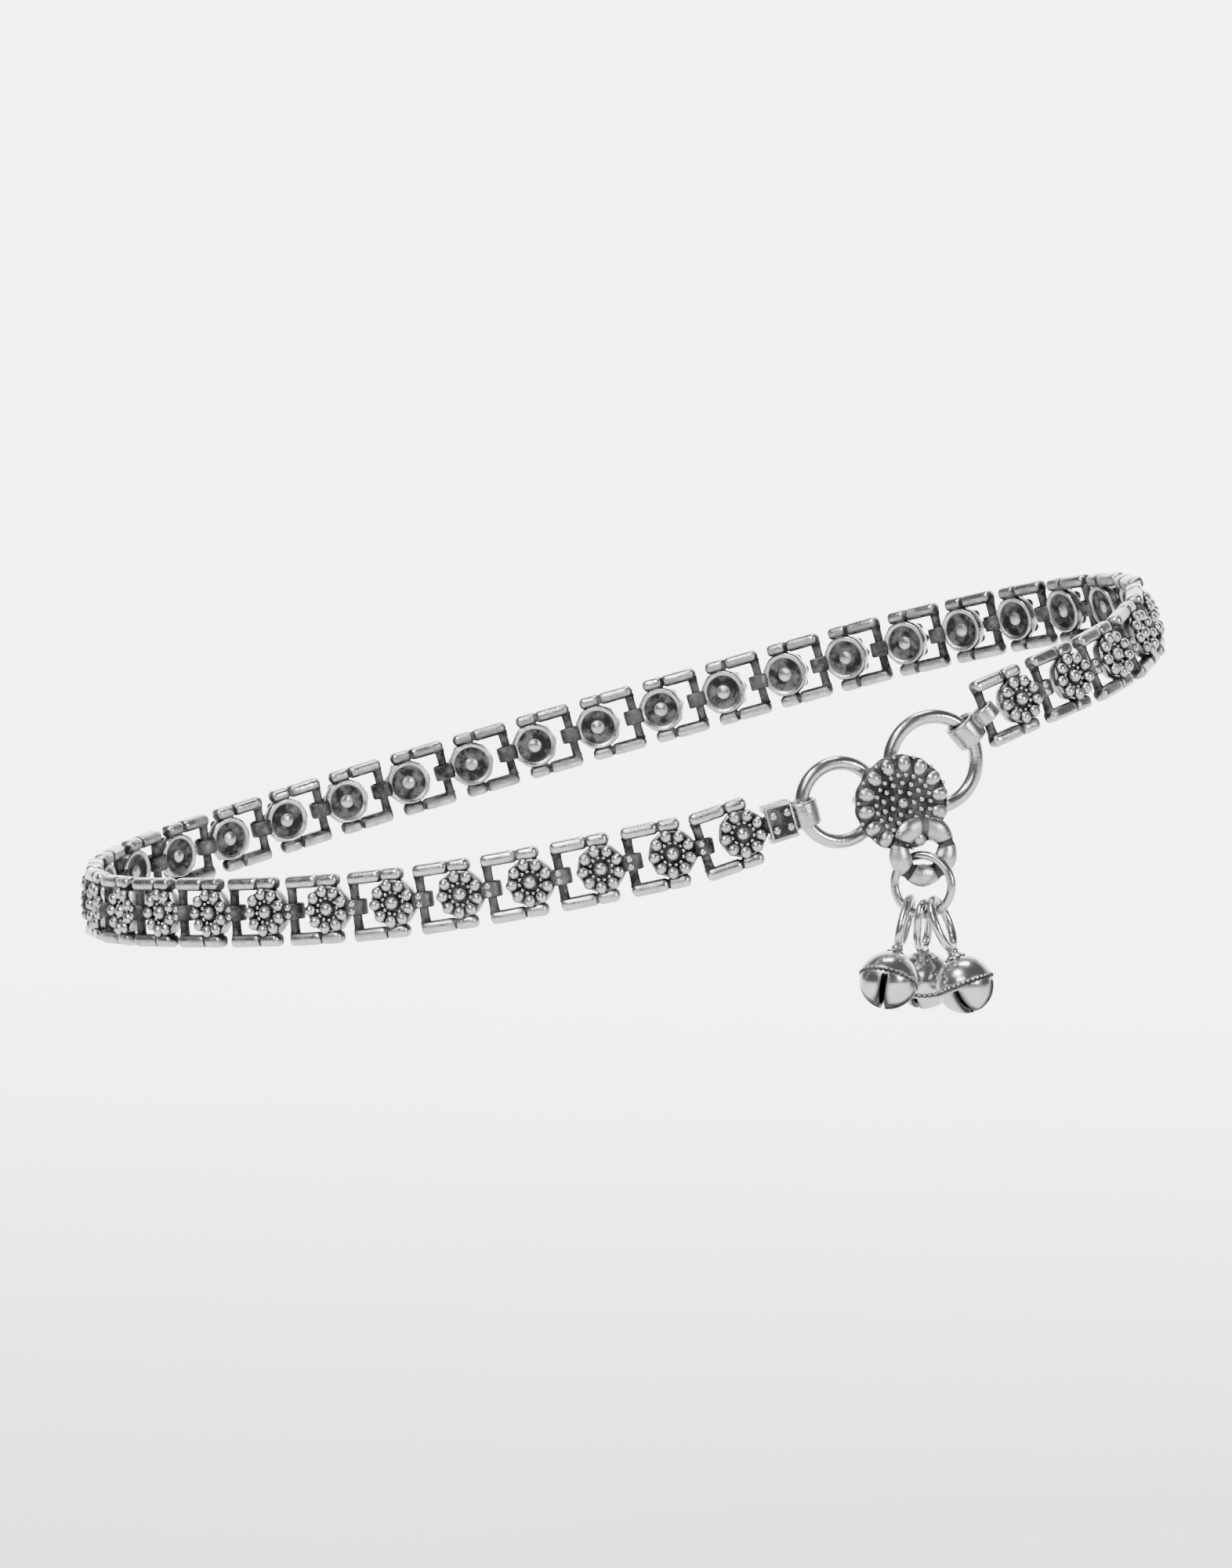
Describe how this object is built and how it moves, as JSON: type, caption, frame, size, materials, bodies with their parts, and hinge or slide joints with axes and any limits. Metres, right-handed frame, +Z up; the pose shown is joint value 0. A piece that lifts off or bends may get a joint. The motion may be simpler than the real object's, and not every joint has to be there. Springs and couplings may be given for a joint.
{
  "type": "payal anklet",
  "caption": "Silver payal anklet: a linked band of dotted flower plaques between rails, a beaded rosette hook clasp on two rings and a hanging cluster of small round bells.",
  "frame": {"origin": "middle of the ankle opening, where the ankle holds the band", "axes": "+X towards the front of the ankle, +Z up the leg; the clasp is on the -Y side"},
  "size_m": [0.1059, 0.0704, 0.0389],
  "materials": {
    "oxidised_silver": "oxidised silver with bright crests and dark recesses",
    "polished_wire": "polished silver wire",
    "polished_bells": "polished silver sheet"
  },
  "bodies": {
    "anklet": {"band_link_01": "oxidised_silver", "band_link_02": "oxidised_silver", "band_link_03": "oxidised_silver", "band_link_04": "oxidised_silver", "band_link_05": "oxidised_silver", "band_link_06": "oxidised_silver", "band_link_07": "oxidised_silver", "band_link_08": "oxidised_silver", "band_link_09": "oxidised_silver", "band_link_10": "oxidised_silver", "band_link_11": "oxidised_silver", "band_link_12": "oxidised_silver", "band_link_13": "oxidised_silver", "band_link_14": "oxidised_silver", "band_link_15": "oxidised_silver", "band_link_16": "oxidised_silver", "band_link_17": "oxidised_silver", "band_link_18": "oxidised_silver", "band_link_19": "oxidised_silver", "band_link_20": "oxidised_silver", "band_link_21": "oxidised_silver", "band_link_22": "oxidised_silver", "band_link_23": "oxidised_silver", "band_link_24": "oxidised_silver", "band_link_25": "oxidised_silver", "band_link_26": "oxidised_silver", "band_link_27": "oxidised_silver", "band_link_28": "oxidised_silver", "band_link_29": "oxidised_silver", "band_link_30": "oxidised_silver", "band_link_31": "oxidised_silver", "band_link_32": "oxidised_silver", "band_link_33": "oxidised_silver", "band_link_34": "oxidised_silver", "band_link_35": "oxidised_silver", "band_link_36": "oxidised_silver", "band_link_37": "oxidised_silver", "band_link_38": "oxidised_silver", "end_cap_left": "oxidised_silver", "end_cap_right": "oxidised_silver", "ring_left": "polished_wire", "ring_right": "polished_wire", "clasp_rosette": "oxidised_silver"},
    "drop": {"drop_link": "polished_wire", "bell_left": "polished_bells", "bell_right": "polished_bells", "bell_back": "polished_bells"}
  },
  "joints": [
    {"name": "drop_swing", "type": "hinge", "parent": "anklet", "child": "drop", "pos_m": [0.03263, -0.02787, -0.00636], "axis": [0.4146, -0.91, 0], "range_deg": [-20, 20]}
  ]
}
